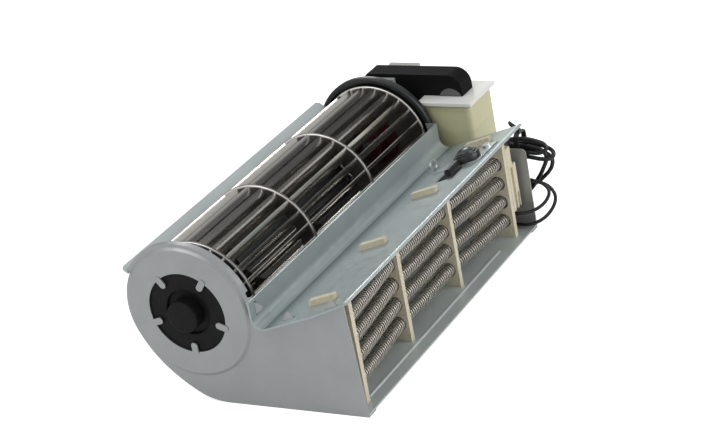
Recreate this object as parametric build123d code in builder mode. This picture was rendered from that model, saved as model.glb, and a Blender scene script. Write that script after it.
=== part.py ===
from build123d import *
import os
from math import acos, atan2, cos, degrees, radians, sin, sqrt, tan

# Tangential fan heater. X points out of the outlet, Y runs along the fan axis from the
# bearing end to the motor end, Z is up. The origin is at the middle of the base.
# Places along Y are measured from the bearing end plate's outer face, places in X and Z
# from the fan axis, and all sizes are in millimetres.

# Impeller
impeller_radius = 30.0
disc_spacing = 59.5
disc_sheet = 0.8
first_disc_y = 12.5
blade_count = 25
blade_first_angle = 2.4
blade_inner_radius = 23.0
blade_outer_radius = 29.4
blade_curve = 7.0
blade_sheet = 0.5
blade_overhang = 3.6
blade_slot_gap = 0.04
middle_ring_width = 9.0
shaft_radius = 2.5
stub_flange_radius = 7.0
stub_flange = 1.6
stub_reach = -2.0
running_gap = 0.03
fit_gap = 0.02
seat_gap = 0.1

# Housing
sheet = 0.8
tip_gap = 1.8
axis_height = 46.3
outlet_reach = 84.5
outlet_top = 11.2
tongue_reach = 36.6
tongue_top = 9.7
tongue_foot = -4.7
fold_radius = 4.5
deck_overhang = 4.6
deck_corner = 17.0
plate_lean = 2.2
lip_angle = 146.5
lip_width = 5.0
lip_start = 0.5
lip_corner = 2.5
scroll_start = 205.0
scroll_turn = 29.0
scroll_fall = 28.0
scroll_growth = 8.6
floor_start = 14.0
bead_inset = 7.3
bead_width = 2.0
bead_height = 0.6
bead_start = 15.5
bead_room = 31.2
last_disc_gap = 0.2
plate_margin = 0.3
flange_depth = 6.0

# Bearing end plate
dish_depth = 1.2
dish_radius = 31.4
dish_run = 1.3
dish_round = 0.9
rim_radius = 34.5
rim_start = 20.0
rim_depth = 2.2
mount_opening_radius = 20.0
finger_count = 5
finger_first_angle = 54.0
finger_width = 3.2
finger_length = 4.8
finger_root = 1.6
finger_step = 0.4
tooth_width = 6.0
tooth_height = 3.4
tooth_tip = 1.0
tooth_lean = 35.0
tooth_gap = 0.3
tooth_room = 1.6
first_tooth_place = 52.6
last_tooth_inset = 8.3
tongue_tooth_z = 4.8

# Rubber mount and bush of the bearing end
boss_radius = 7.8
boss_proud = 4.6
boss_face = 1.6
boss_length = 11.2
boss_round = 0.8
mount_thickness = 3.0
mount_flange_radius = 22.5
groove_width = 3.2
groove_depth = 1.6
bush_radius = 4.5
bush_length = 9.2

# Motor end plate and the black carrier ring behind it
plate_opening_radius = 31.9
lead_notch_width = 13.0
lead_notch_floor = -2.6
lead_notch_corner = 2.5
carrier_radius = 33.9
carrier_bore = 31.4
carrier_depth = 4.2
carrier_web = 1.4
carrier_round = 1.2
carrier_shaft_hole = 8.0
ear_angles = (-14.0, -60.0, -98.0)
ear_distance = 36.6
ear_radius = 3.6
ear_thickness = 2.0
carrier_screw_radius = 1.5
carrier_screw_tip = 1.4
carrier_head_radius = 2.5
carrier_head_height = 1.6

# Motor
core_stand_off = 10.0
core_stack = 12.1
core_half_height = 30.5
core_left = -24.0
core_right = 46.5
core_corner = 8.0
core_chamfer = 16.5
window_start = 21.0
limb_centre = 39.5
limb_width = 12.6
limb_half_height = 19.0
limb_crown = 4.2
rotor_radius = 12.6
rotor_gap = 0.35
rotor_overhang = 1.4
bobbin_wall = 1.2
bobbin_flange = 2.0
bobbin_half_width = 15.3
bobbin_half_depth = 15.4
winding_inset = 1.7
winding_round = 2.5
bracket_half_width = 9.0
bracket_half_height = 28.6
bracket_foot = 11.0
bracket_wall = 2.6
front_bracket_depth = 6.6
front_bracket_shoulder = 15.0
rear_bracket_depth = 16.4
rear_bracket_shoulder = 25.2
bearing_radius = 5.0
bearing_boss_radius = 7.6
bearing_boss_length = 1.6
bolt_radius = 1.8
bolt_height = 24.9
bolt_head_radius = 2.9
bolt_head_height = 2.2
bolt_tail = 3.4
nut_height = 2.4
pillar_radius = 3.6
pillar_height = 12.0
mounting_screw_radius = 1.5
mounting_screw_length = 6.0
shading_near = (-12.5, 14.6)
shading_far = (-19.0, 3.5)
shading_radius = 1.2
shading_bar = 1.2
mounting_head_radius = 2.8
mounting_head_height = 1.2
shaft_reach = 10.0
shaft_tail = 1.4

# Impeller hub and its grub screw
hub_radius = 7.0
hub_length = 9.0
hub_flange_radius = 13.0
hub_flange = 1.6
grub_radius = 1.8
grub_proud = 0.6
grub_inset = 4.0

# Heater
support_start = 11.0
near_bay = 56.5
far_bay = 55.0
support_room = 13.7
end_support_inset = 4.9
middle_support_inset = 10.2
support_sheet = 3.0
support_depth = 24.0
clip_height = 3.0
clip_inset = 6.4
middle_clip_inset = 5.0
clip_length = 13.8
slot_gap = 0.3
row_count = 4
row_pitch = 10.35
top_row = -4.5
coil_radius = 3.3
coil_hole_radius = 3.8
coil_inset = 5.3
coil_bend = 400.0
coil_end_bend = 40.0
coil_near_overhang = 2.4
coil_far_overhang = 3.7
link_radius = 0.9
link_reach = 2.6
far_link_reach = 8.6
link_bend = 1.5
pin_radius = 1.0
pin_inset = 7.0
block_pin_reach = 5.9
pin_reach = 6.9
crimp_radius = 1.4
crimp_inset = 8.6
crimp_length = 3.6
block_gap = 0.2
block_depth = 12.0
block_top = 2.4
block_foot = -32.0
block_length = 8.8
block_step = -8.0
block_step_length = 3.8
channel_width = 2.4
channel_depth = 1.2
channel_start = 2.6
channel_top = -9.0
short_channel_start = 6.2
short_channel_width = 2.0
short_channel_top = -24.0
terminal_inset = 4.1
terminal_z = -0.4
terminal_radius = 1.4
terminal_depth = 2.8
terminal_reach = 8.7
earth_x = 62.0
earth_room = 3.2
earth_sheet = 0.6
earth_ring = 2.8
earth_barrel_end = 68.0
earth_screw_radius = 1.3
earth_head_radius = 2.4
earth_head_height = 1.2

# Thermal cut-out on the top plate, placed along the slope from its fold
opening_start = 24.6
opening_width = 11.6
opening_room = 19.2
opening_length = 35.0
strap_sheet = 0.8
strap_start = 17.0
strap_end = 45.0
strap_room = 30.2
strap_width = 10.0
strap_pad_start = 37.0
strap_pad_room = 17.7
strap_ear_height = 6.0
strap_ear_width = 7.0
strap_ear_hole = 1.8
strap_ear_round = 2.4
cutout_along = 36.0
cutout_room = 34.6
cutout_length = 13.0
cutout_width = 12.0
cutout_height = 6.0
cutout_round = 1.0
cap_along = 34.0
cap_offset = 3.4
cap_radius = 2.4
cap_height = 0.8
strap_screw_radius = 1.4
strap_screw_along = 41.0
strap_screw_room = 22.2
strap_screw_length = 4.0
strap_screw_head = 2.4
strap_screw_head_height = 1.2
fuse_radius = 1.8
fuse_length = 11.0
fuse_along = 33.0
fuse_lift = 2.2

# Leads
lead_radius = 0.9
strand_radius = 1.1
barrel_radius = 1.3
connector_start = 51.0
connector_end = 73.0
connector_top = -19.0
connector_foot = -36.0
connector_depth = 17.0
connector_round = 1.0
connector_screw_radius = 1.4
connector_screw_x = 57.0
connector_head_radius = 2.6
connector_head_height = 1.4
clamp_screw_radius = 1.5
clamp_screw_depth = 2.0
clamp_screw_proud = 0.5
clamp_screw_x = 69.0
clamp_screw_offsets = (4.6, 8.8, 13.0)
hank_gap = 5.4
hank_depth = 8.0
hank_round = 2.4
hank_corner = 2.8
hank_start = 64.0
motor_lead_x = 53.2
motor_lead_z = 0.6
tie_x = 78.0
tie_width = 2.5
tie_sheet = 1.1
tie_gap = 0.3
tie_top = 2.3
tie_foot = -11.2
tie_tip_x = 73.4
tie_tip_z = 8.6
tie_tail_offset = 1.8
tie_tail_width = 2.4

# Sizes that follow from those above
scroll_radius = impeller_radius + tip_gap + sheet
floor_z = sheet - axis_height
floor_top = floor_z + sheet
plate_inner_y = dish_depth + sheet
last_disc_y = first_disc_y + 3 * disc_spacing
motor_plate_y = last_disc_y + last_disc_gap
deck_start = dish_depth - deck_overhang
housing_length = motor_plate_y - plate_inner_y
carrier_y = motor_plate_y + sheet
motor_face_y = carrier_y + carrier_depth
core_y = motor_face_y + core_stand_off
core_back_y = core_y + core_stack
front_bracket_y = core_y - front_bracket_depth
rear_bracket_y = core_back_y + rear_bracket_depth
shaft_end_y = rear_bracket_y + shaft_tail
shaft_start = last_disc_y - shaft_reach
scroll_mid = scroll_start + scroll_turn
scroll_end = scroll_mid + scroll_fall
bead_reach = outlet_reach - bead_inset
bead_end = motor_plate_y - bead_room
tooth_places = (first_tooth_place, outlet_reach - last_tooth_inset)
lead_notch_start = outlet_reach - lead_notch_width
support_end = motor_plate_y - support_room
support_places = (support_start, support_start + near_bay, support_end - far_bay, support_end)
end_front = outlet_reach - end_support_inset
middle_front = outlet_reach - middle_support_inset
support_fronts = (end_front, middle_front, middle_front, end_front)
end_clip = end_front - clip_inset
middle_clip = middle_front - middle_clip_inset
clip_fronts = (end_clip, middle_clip, middle_clip, end_clip)
pin_x = end_front - pin_inset
coil_start = support_start - coil_near_overhang
coil_end = support_end + coil_far_overhang
block_pin_end = support_end + block_pin_reach
pin_end = support_end + pin_reach
crimp_start = end_front - crimp_inset
crimp_end = crimp_start + crimp_length
terminal_x = end_front - terminal_inset
terminal_end = support_end + terminal_reach
earth_y = motor_plate_y - earth_room
opening_far = motor_plate_y - opening_room
opening_near = opening_far - opening_length
strap_far = motor_plate_y - strap_room
strap_near = strap_far - strap_width
strap_pad_far = motor_plate_y - strap_pad_room
cutout_y = motor_plate_y - cutout_room
cap_y = cutout_y + cap_offset
strap_screw_y = motor_plate_y - strap_screw_room
hank_front = motor_plate_y + hank_gap
tie_tail_y = hank_front + tie_tail_offset
hank_middle_y = hank_front + hank_depth / 2
block_y = support_places[-1] + support_sheet / 2 + block_gap
slope = atan2(outlet_top - tongue_foot, outlet_reach - tongue_reach)
axis_x = (carrier_radius - outlet_reach) / 2
face_y = (boss_proud - shaft_end_y) / 2
fan_axis = Axis((axis_x, 0, axis_height), (0, 1, 0))
pillars = [(0, pillar_height), (0, -pillar_height)]
bolts = [(0, bolt_height), (0, -bolt_height)]


def station(y):
    """Plane across the fan axis, drawn in X and Z; extruding by minus an amount goes to +Y."""
    return Plane(origin=(axis_x, face_y + y, axis_height), x_dir=(1, 0, 0), z_dir=(0, -1, 0))


# Plane along the fan axis for turned profiles: places along Y, then radius
lathe = Plane(origin=(axis_x, face_y, axis_height), x_dir=(0, 1, 0), z_dir=(1, 0, 0))


def side_plane(x):
    """Plane across X for profiles drawn in Y and Z; extruding by an amount goes to +X."""
    return Plane(origin=(axis_x + x, face_y, axis_height), x_dir=(0, 1, 0), z_dir=(1, 0, 0))


def level_plane(z):
    """Level plane at a height above the fan axis, drawn in X and Y."""
    return Plane(origin=(axis_x, face_y, axis_height + z))


def deck(lift=0.0):
    """Plane on the top plate, drawn along its slope from the fold and along Y."""
    return Plane(
        origin=(
            axis_x + tongue_reach - lift * sin(slope),
            face_y,
            axis_height + tongue_foot + lift * cos(slope),
        ),
        x_dir=(cos(slope), 0, sin(slope)),
        z_dir=(-sin(slope), 0, cos(slope)),
    )


def place(x, y, z):
    """Point of a route in the part's own frame."""
    return Vector(axis_x + x, face_y + y, axis_height + z)


def polar(radius, angle):
    """Point at a radius and an angle in degrees about the fan axis."""
    return (radius * cos(radians(angle)), radius * sin(radians(angle)))


def top_z(x):
    """Height of the top plate's upper face at a place along X."""
    return tongue_foot + (x - tongue_reach) * tan(slope)


def under_z(x):
    """Height of the top plate's lower face at a place along X."""
    return top_z(x) - sheet / cos(slope)


def save(piece, name):
    """Label a finished sub-part and write it."""
    piece.part.label = name
    export_step(piece.part, f"parts/{name}.step")


def volute(angle, margin):
    """Point of the casing's curve, which opens from a circle towards the floor."""
    opening = radians(max(angle - scroll_start, 0))
    return polar(scroll_radius + margin + scroll_growth * opening**2, angle)


def casing_curve(margin, floor):
    """Casing's curve: from its lip round the back, then along the floor to the outlet."""
    CenterArc((0, 0), scroll_radius + margin, lip_angle, scroll_start - lip_angle)
    Spline(
        volute(scroll_start, margin),
        volute(scroll_mid, margin),
        volute(scroll_end, margin),
        (floor_start, floor),
        tangents=(polar(1, scroll_start + 90), (1, 0)),
    )
    Line((floor_start, floor), (outlet_reach, floor))


def tongue_corner():
    """Corner below the top plate where it folds up into the tongue."""
    return (tongue_reach - sheet, under_z(tongue_reach - sheet))


def base_flange():
    """Section of the flange folded in along the base of an end plate."""
    with Locations((outlet_reach, -axis_height)):
        Rectangle(outlet_reach - floor_start, sheet, align=(Align.MAX, Align.MIN))


def edge_plane(x, z, angle, lean):
    """Plane at an edge of the end plate's sheet: along the edge, then away from it, leaning to +Y."""
    along = Vector(cos(radians(angle)), 0, sin(radians(angle)))
    away = Vector(-sin(radians(angle)), 0, cos(radians(angle)))
    up = away * cos(radians(lean)) + Vector(0, sin(radians(lean)), 0)
    return Plane(origin=place(x, dish_depth, z), x_dir=along, z_dir=along.cross(up))


tooth_edges = [(x, top_z(x), degrees(slope)) for x in tooth_places]
tooth_edges.append((tongue_reach, tongue_tooth_z, -90.0))


def blade_section(gap=0.0):
    """Blade's section: a round sheet that starts straight out and leans over at the rim."""
    centre = Vector(blade_inner_radius, blade_curve)
    reach = centre.length
    spread = (reach**2 + blade_curve**2 - blade_outer_radius**2) / (2 * reach * blade_curve)
    sweep = degrees(acos(spread) - acos(blade_curve / reach))
    margin = degrees(gap / blade_curve)
    thickness = blade_sheet + 2 * gap
    with BuildSketch(mode=Mode.PRIVATE) as section:
        with BuildLine():
            outer = CenterArc(centre, blade_curve + thickness / 2, -90 - margin, sweep + 2 * margin)
            inner = CenterArc(centre, blade_curve - thickness / 2, -90 - margin, sweep + 2 * margin)
            Line(outer @ 0, inner @ 0)
            Line(outer @ 1, inner @ 1)
        make_face()
    return section.sketch


def slotted_disc(y, inner_radius):
    """Impeller disc with a slot for each blade."""
    with BuildPart() as disc:
        with BuildSketch(station(y)):
            Circle(impeller_radius)
            Circle(inner_radius, mode=Mode.SUBTRACT)
            with PolarLocations(0, blade_count, start_angle=blade_first_angle):
                add(blade_section(blade_slot_gap), mode=Mode.SUBTRACT)
        extrude(amount=-disc_sheet)
    return disc


def turned(profile):
    """Solid turned about the fan axis from points given along Y and as radii."""
    with BuildPart() as piece:
        with BuildSketch(lathe):
            with BuildLine():
                Polyline(*profile, close=True)
            make_face()
        revolve(axis=fan_axis)
    return piece


def tube_along(points, radii, radius):
    """Round tube along straight runs joined by arcs."""
    with BuildPart() as piece:
        with BuildLine() as path:
            FilletPolyline(*points, radius=radii)
        with BuildSketch(Plane(origin=path.line @ 0, z_dir=path.line % 0)):
            Circle(radius)
        sweep()
    return piece


def fair_radii(points):
    """Arc radius at each inner point: as large as its two runs leave room for."""
    radii = []
    for before, corner, after in zip(points, points[1:], points[2:]):
        arriving = corner - before
        leaving = after - corner
        turn = radians(arriving.get_angle(leaving))
        shorter = min(arriving.length, leaving.length)
        radii.append(0.45 * shorter / tan(turn / 2))
    return radii


def limb_section(gap=0.0):
    """Coil limb's section: a bar with a rounded crown at each end, grown by a gap."""
    half_width = limb_width / 2 + gap
    with BuildSketch(mode=Mode.PRIVATE) as section:
        with BuildLine():
            for side in (1, -1):
                ThreePointArc(
                    (limb_centre - half_width, side * limb_half_height),
                    (limb_centre, side * (limb_half_height + limb_crown + gap)),
                    (limb_centre + half_width, side * limb_half_height),
                )
                Line(
                    (limb_centre + side * half_width, -limb_half_height),
                    (limb_centre + side * half_width, limb_half_height),
                )
        make_face()
    return section.sketch


def bracket(plate_y, away, depth, shoulder):
    """Bearing bracket: feet on the core, legs and a bridge that carries a bearing boss."""
    sign = 1 if away > 0 else -1
    foot_y = plate_y + sign * bracket_wall
    bridge_y = plate_y + sign * depth
    inner_y = bridge_y - sign * bracket_wall
    foot_end = bracket_half_height - bracket_foot
    with BuildPart() as piece:
        with BuildSketch(side_plane(-bracket_half_width)):
            for side in (1, -1):
                with BuildLine():
                    Polyline(
                        (plate_y, side * bracket_half_height),
                        (plate_y, side * foot_end),
                        (inner_y, side * (shoulder - bracket_wall)),
                        (inner_y, 0),
                        (bridge_y, 0),
                        (bridge_y, side * shoulder),
                        (foot_y, side * (foot_end + bracket_wall)),
                        (foot_y, side * bracket_half_height),
                        close=True,
                    )
                make_face()
        extrude(amount=2 * bracket_half_width)
        with BuildSketch(station(bridge_y)):
            Circle(bearing_boss_radius)
        extrude(amount=sign * (bracket_wall + bearing_boss_length))
        with BuildSketch(station(plate_y)):
            with Locations(*bolts):
                Circle(bolt_radius + fit_gap)
        extrude(amount=-sign * bracket_wall, mode=Mode.SUBTRACT)
        with BuildSketch(station(bridge_y)):
            Circle(bearing_radius + fit_gap)
        extrude(amount=sign * (bracket_wall + bearing_boss_length), mode=Mode.SUBTRACT)
    return piece


os.makedirs("parts", exist_ok=True)

# Scroll sheet: lip, round back, volute and floor in one bent sheet
with BuildPart() as scroll_sheet:
    with BuildSketch(station(plate_inner_y)):
        with BuildLine():
            casing_curve(0, floor_z)
            casing_curve(-sheet, floor_top)
            Line(polar(scroll_radius, lip_angle), polar(scroll_radius - sheet, lip_angle))
            Line((outlet_reach, floor_z), (outlet_reach, floor_top))
        make_face()
    extrude(amount=-housing_length)
    outward = Vector(cos(radians(lip_angle)), 0, sin(radians(lip_angle)))
    lip_root = place(*(outward * scroll_radius))
    with BuildSketch(Plane(origin=lip_root, x_dir=outward, z_dir=outward.cross(Vector(0, 1, 0)))):
        with BuildLine():
            Polyline(
                (-sheet, plate_inner_y),
                (2 * plate_margin, plate_inner_y),
                (2 * plate_margin, lip_start),
                (lip_width, lip_start),
                (lip_width, motor_plate_y),
                (-sheet, motor_plate_y),
                close=True,
            )
        make_face()
        fillet(vertices().group_by(Axis.X)[-1], lip_corner)
    extrude(amount=sheet)
    with BuildSketch(station(bead_start)):
        with BuildLine():
            ThreePointArc(
                (bead_reach - bead_width / 2, floor_top),
                (bead_reach, floor_top + bead_height),
                (bead_reach + bead_width / 2, floor_top),
            )
            Line(
                (bead_reach - bead_width / 2, floor_top),
                (bead_reach + bead_width / 2, floor_top),
            )
        make_face()
    extrude(amount=-(bead_end - bead_start))
    with BuildSketch(level_plane(floor_z)):
        with Locations((earth_x, earth_y)):
            Circle(earth_screw_radius + fit_gap)
    extrude(amount=sheet, mode=Mode.SUBTRACT)
save(scroll_sheet, "scroll_sheet")

# Top plate with the tongue folded up from it
with BuildPart() as top_plate:
    with BuildSketch(station(deck_start)):
        with BuildLine():
            FilletPolyline(
                (tongue_reach, tongue_top),
                (tongue_reach, tongue_foot),
                (outlet_reach, outlet_top),
                radius=[fold_radius],
            )
            FilletPolyline(
                (tongue_reach - sheet, tongue_top),
                tongue_corner(),
                (outlet_reach, under_z(outlet_reach)),
                radius=[fold_radius + sheet],
            )
            Line((tongue_reach, tongue_top), (tongue_reach - sheet, tongue_top))
            Line((outlet_reach, outlet_top), (outlet_reach, under_z(outlet_reach)))
        make_face()
    extrude(amount=-(carrier_y - deck_start))
    with BuildSketch(level_plane(outlet_top + sheet)):
        with BuildLine():
            Polyline(
                (outlet_reach + sheet, deck_start),
                (outlet_reach - deck_corner, deck_start),
                (outlet_reach, dish_depth),
                (outlet_reach + sheet, dish_depth),
                close=True,
            )
        make_face()
    extrude(amount=-2 * outlet_top, mode=Mode.SUBTRACT)
    for x, z, angle in tooth_edges:
        with BuildSketch(edge_plane(x, z, angle, 0).offset(tooth_gap)):
            Rectangle(tooth_width + 2 * tooth_gap, 4 * sheet)
        extrude(amount=-(tooth_gap + tooth_room), mode=Mode.SUBTRACT)
    for y, clip_front in zip(support_places, clip_fronts):
        with BuildSketch(deck()):
            with Locations(((clip_front - tongue_reach) / cos(slope) + slot_gap, y)):
                Rectangle(
                    clip_length / cos(slope) + 2 * slot_gap,
                    support_sheet + 2 * slot_gap,
                    align=(Align.MAX, Align.CENTER),
                )
        extrude(amount=2 * sheet, both=True, mode=Mode.SUBTRACT)
    with BuildSketch(deck()):
        with Locations((opening_start, opening_near)):
            Rectangle(opening_width, opening_far - opening_near, align=Align.MIN)
        with Locations((strap_screw_along, strap_screw_y)):
            Circle(strap_screw_radius + fit_gap)
    extrude(amount=2 * sheet, both=True, mode=Mode.SUBTRACT)
save(top_plate, "top_plate")

# Bearing end plate: flat sheet with a raised dish, folded rim and base, fingers and teeth
with BuildPart() as bearing_end_plate:
    rim_join = (sqrt(rim_radius**2 - tongue_top**2), tongue_top)
    rim_join_angle = degrees(atan2(rim_join[1], rim_join[0]))
    with BuildSketch(station(dish_depth)):
        with BuildLine():
            casing_curve(plate_margin, -axis_height)
            FilletPolyline(
                (outlet_reach, -axis_height),
                (outlet_reach - plate_lean, under_z(outlet_reach - plate_lean)),
                tongue_corner(),
                (tongue_reach - sheet, tongue_top),
                rim_join,
                radius=[0, fold_radius + sheet, 0],
            )
            CenterArc((0, 0), rim_radius, rim_join_angle, lip_angle - rim_join_angle)
            Line(polar(rim_radius, lip_angle), polar(scroll_radius + plate_margin, lip_angle))
        make_face()
        Circle(dish_radius + dish_run, mode=Mode.SUBTRACT)
    extrude(amount=-sheet)
    with BuildSketch(lathe):
        with BuildLine():
            FilletPolyline(
                (0, mount_opening_radius),
                (0, dish_radius),
                (dish_depth, dish_radius + dish_run),
                radius=[dish_round],
            )
            Polyline(
                (dish_depth, dish_radius + dish_run),
                (plate_inner_y, dish_radius + dish_run),
                (sheet, dish_radius - sheet / 2),
                (sheet, mount_opening_radius),
                (0, mount_opening_radius),
            )
        make_face()
    revolve(axis=fan_axis)
    with BuildSketch(station(plate_inner_y)):
        with BuildLine():
            CenterArc((0, 0), rim_radius, rim_start, lip_angle - rim_start)
            CenterArc((0, 0), rim_radius - sheet, rim_start, lip_angle - rim_start)
            for angle in (rim_start, lip_angle):
                Line(polar(rim_radius, angle), polar(rim_radius - sheet, angle))
        make_face()
    extrude(amount=-rim_depth)
    with BuildSketch(station(plate_inner_y)):
        base_flange()
    extrude(amount=-flange_depth)
    with BuildSketch(station(-finger_step)):
        with PolarLocations(mount_opening_radius + finger_root, finger_count, finger_first_angle):
            with Locations((-(finger_length + finger_root) / 2, 0)):
                SlotOverall(finger_length + finger_root, finger_width)
    extrude(amount=-sheet)
    for x, z, angle in tooth_edges:
        with BuildSketch(edge_plane(x, z, angle, 0)):
            Rectangle(tooth_width, 2 * sheet, align=(Align.CENTER, Align.MAX))
        extrude(amount=-sheet)
        with BuildSketch(edge_plane(x, z, angle, tooth_lean)):
            with BuildLine():
                Polyline(
                    (-tooth_width / 2, 0),
                    (tooth_width / 2, 0),
                    (tooth_tip / 2, tooth_height),
                    (-tooth_tip / 2, tooth_height),
                    close=True,
                )
            make_face()
        extrude(amount=-sheet)
save(bearing_end_plate, "bearing_end_plate")

# Rubber mount in the plate's opening, closed over the end of the shaft
with BuildPart() as rubber_mount:
    with BuildSketch(lathe):
        with BuildLine():
            FilletPolyline(
                (-boss_proud, 0),
                (-boss_proud, boss_radius),
                (sheet + groove_depth, boss_radius),
                (sheet + groove_depth, boss_radius + groove_width),
                (sheet, boss_radius + groove_width),
                (sheet, mount_flange_radius),
                (sheet + mount_thickness, mount_flange_radius),
                (sheet + mount_thickness, boss_radius),
                (boss_length - boss_proud, boss_radius),
                (boss_length - boss_proud, bush_radius),
                (boss_face - boss_proud, bush_radius),
                (boss_face - boss_proud, 0),
                radius=[boss_round, 0, 0, groove_width / 4, 0, 0, 0, 0, 0, 0],
            )
            Line((boss_face - boss_proud, 0), (-boss_proud, 0))
        make_face()
    revolve(axis=fan_axis)
save(rubber_mount, "rubber_bearing_mount")

bush_y = boss_length - boss_proud - bush_length
bearing_bush = turned(
    [
        (bush_y, shaft_radius + running_gap),
        (bush_y + bush_length, shaft_radius + running_gap),
        (bush_y + bush_length, bush_radius - fit_gap),
        (bush_y, bush_radius - fit_gap),
    ]
)
save(bearing_bush, "bearing_bush")

stub_shaft = turned(
    [
        (stub_reach, 0),
        (stub_reach, shaft_radius),
        (first_disc_y + disc_sheet, shaft_radius),
        (first_disc_y + disc_sheet, stub_flange_radius),
        (first_disc_y + disc_sheet + stub_flange, stub_flange_radius),
        (first_disc_y + disc_sheet + stub_flange, 0),
    ]
)
save(stub_shaft, "stub_shaft")

# Impeller: two end discs, two rings between them, and the blades through their slots
save(slotted_disc(first_disc_y, shaft_radius + fit_gap), "bearing_end_disc")
middle_ring_bore = impeller_radius - middle_ring_width
save(slotted_disc(first_disc_y + disc_spacing, middle_ring_bore), "middle_ring_near")
save(slotted_disc(first_disc_y + 2 * disc_spacing, middle_ring_bore), "middle_ring_far")
save(slotted_disc(last_disc_y, hub_radius + fit_gap), "motor_end_disc")

with BuildPart() as impeller_blades:
    with BuildSketch(station(first_disc_y - blade_overhang)):
        with PolarLocations(0, blade_count, start_angle=blade_first_angle):
            add(blade_section())
    extrude(amount=-(last_disc_y + disc_sheet - first_disc_y + blade_overhang))
save(impeller_blades, "impeller_blades")

# Hub that clamps the motor's shaft
hub_start = last_disc_y + disc_sheet - hub_length
grub_y = hub_start + grub_inset
with BuildPart() as impeller_hub:
    with BuildSketch(lathe):
        with BuildLine():
            Polyline(
                (hub_start, shaft_radius + fit_gap),
                (hub_start, hub_radius),
                (last_disc_y - hub_flange, hub_radius),
                (last_disc_y - hub_flange, hub_flange_radius),
                (last_disc_y, hub_flange_radius),
                (last_disc_y, hub_radius),
                (last_disc_y + disc_sheet, hub_radius),
                (last_disc_y + disc_sheet, shaft_radius + fit_gap),
                close=True,
            )
        make_face()
    revolve(axis=fan_axis)
    with BuildSketch(level_plane(0)):
        with Locations((0, grub_y)):
            Circle(grub_radius + fit_gap)
    extrude(amount=2 * hub_radius, mode=Mode.SUBTRACT)
save(impeller_hub, "impeller_hub")

with BuildPart() as grub_screw:
    with BuildSketch(level_plane(shaft_radius + fit_gap)):
        with Locations((0, grub_y)):
            Circle(grub_radius)
            RegularPolygon(grub_radius / 2, 6, mode=Mode.SUBTRACT)
    extrude(amount=hub_radius + grub_proud - shaft_radius - fit_gap)
save(grub_screw, "grub_screw")

# Motor end plate: flat sheet, open over the impeller, with a notch for the leads
with BuildPart() as motor_end_plate:
    opening_join = (sqrt(plate_opening_radius**2 - tongue_top**2), tongue_top)
    opening_angle = degrees(atan2(opening_join[1], opening_join[0]))
    with BuildSketch(station(motor_plate_y)):
        with BuildLine():
            casing_curve(plate_margin, -axis_height)
            FilletPolyline(
                (outlet_reach, -axis_height),
                (outlet_reach, lead_notch_floor),
                (lead_notch_start, lead_notch_floor),
                (lead_notch_start, under_z(lead_notch_start)),
                tongue_corner(),
                (tongue_reach - sheet, tongue_top),
                opening_join,
                radius=[lead_notch_corner, lead_notch_corner, 0, fold_radius + sheet, 0],
            )
            CenterArc((0, 0), plate_opening_radius, lip_angle, 360 - lip_angle + opening_angle)
            Line(
                polar(plate_opening_radius, lip_angle),
                polar(scroll_radius + plate_margin, lip_angle),
            )
        make_face()
        for angle in ear_angles:
            with Locations(polar(ear_distance, angle)):
                Circle(carrier_screw_radius + fit_gap, mode=Mode.SUBTRACT)
    extrude(amount=-sheet)
    with BuildSketch(station(motor_plate_y)):
        base_flange()
    extrude(amount=flange_depth)
    with BuildSketch(level_plane(-axis_height)):
        with Locations((earth_x, earth_y)):
            Circle(earth_screw_radius + fit_gap)
    extrude(amount=sheet, mode=Mode.SUBTRACT)
save(motor_end_plate, "motor_end_plate")

# Black moulded ring that closes the motor end and carries the motor
with BuildPart() as motor_carrier:
    with BuildSketch(lathe):
        with BuildLine():
            FilletPolyline(
                (carrier_y, carrier_bore),
                (carrier_y, carrier_radius),
                (motor_face_y, carrier_radius),
                (motor_face_y, carrier_shaft_hole),
                (motor_face_y - carrier_web, carrier_shaft_hole),
                (motor_face_y - carrier_web, carrier_bore),
                radius=[carrier_round, carrier_round, 0, 0],
            )
            Line((motor_face_y - carrier_web, carrier_bore), (carrier_y, carrier_bore))
        make_face()
    revolve(axis=fan_axis)
    with BuildSketch(station(carrier_y)):
        for angle in ear_angles:
            with Locations(polar(ear_distance, angle)):
                Circle(ear_radius)
        Circle(carrier_radius - sheet, mode=Mode.SUBTRACT)
    extrude(amount=-ear_thickness)
    with BuildSketch(station(carrier_y)):
        for angle in ear_angles:
            with Locations(polar(ear_distance, angle)):
                Circle(carrier_screw_radius + fit_gap)
    extrude(amount=-ear_thickness, mode=Mode.SUBTRACT)
    with BuildSketch(station(motor_face_y - carrier_web)):
        with Locations(*pillars):
            Circle(mounting_screw_radius + fit_gap)
    extrude(amount=-carrier_web, mode=Mode.SUBTRACT)
save(motor_carrier, "motor_carrier")

with BuildPart() as carrier_screws:
    screw_places = [polar(ear_distance, angle) for angle in ear_angles]
    with BuildSketch(station(motor_plate_y - carrier_screw_tip)):
        with Locations(*screw_places):
            Circle(carrier_screw_radius)
    extrude(amount=-(carrier_screw_tip + sheet + ear_thickness))
    with BuildSketch(station(carrier_y + ear_thickness)):
        with Locations(*screw_places):
            Circle(carrier_head_radius)
    extrude(amount=-carrier_head_height)
save(carrier_screws, "carrier_screws")

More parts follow.
